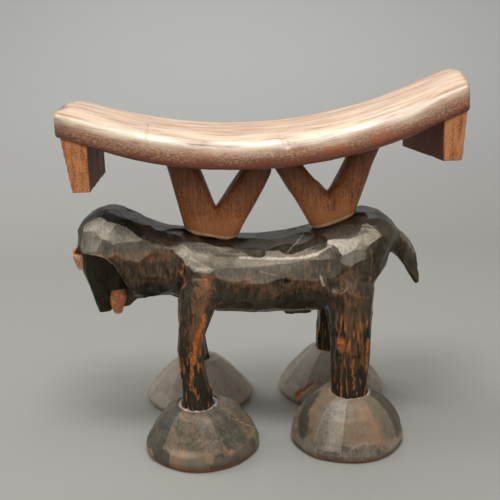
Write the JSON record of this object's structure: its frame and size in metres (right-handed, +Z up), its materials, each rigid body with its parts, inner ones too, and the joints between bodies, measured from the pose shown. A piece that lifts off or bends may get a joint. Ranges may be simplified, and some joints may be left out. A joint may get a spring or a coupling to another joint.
{
  "type": "carved headrest",
  "caption": "Carved wooden headrest: a long curved pillow on V-shaped struts that stand on the back of a four-legged animal with a lowered head and bell-shaped feet.",
  "frame": {"origin": "on the ground under the middle of the part's box, between the four feet", "axes": "+X along the pillow from the animal's head to its tail, +Y from its left side to its right, +Z up"},
  "size_m": [0.186, 0.111, 0.1691],
  "materials": {
    "polished_wood": "hardwood worn smooth and polished by use",
    "raw_wood": "bare knife-cut hardwood",
    "reddish_wood": "oiled hardwood, darker under the pillow",
    "blackened_wood": "hardwood blackened by scorching, burnished and rubbed through on its edges",
    "foot_wood": "blackened hardwood worn to grey-brown",
    "worn_wood": "hardwood rubbed through its black finish"
  },
  "bodies": {
    "root": {"pillow": "polished_wood", "head_end_lug": "raw_wood", "tail_end_lug": "raw_wood", "front_strut": "reddish_wood", "rear_strut": "reddish_wood", "torso": "blackened_wood", "neck": "blackened_wood", "head": "blackened_wood", "brow_knob": "worn_wood", "muzzle": "blackened_wood", "lower_jaw": "worn_wood", "tail": "blackened_wood", "sheath": "blackened_wood", "left_foreleg": "blackened_wood", "right_foreleg": "blackened_wood", "left_hind_leg": "blackened_wood", "right_hind_leg": "blackened_wood", "left_fore_foot": "foot_wood", "right_fore_foot": "foot_wood", "left_hind_foot": "foot_wood", "right_hind_foot": "foot_wood"}
  },
  "joints": []
}
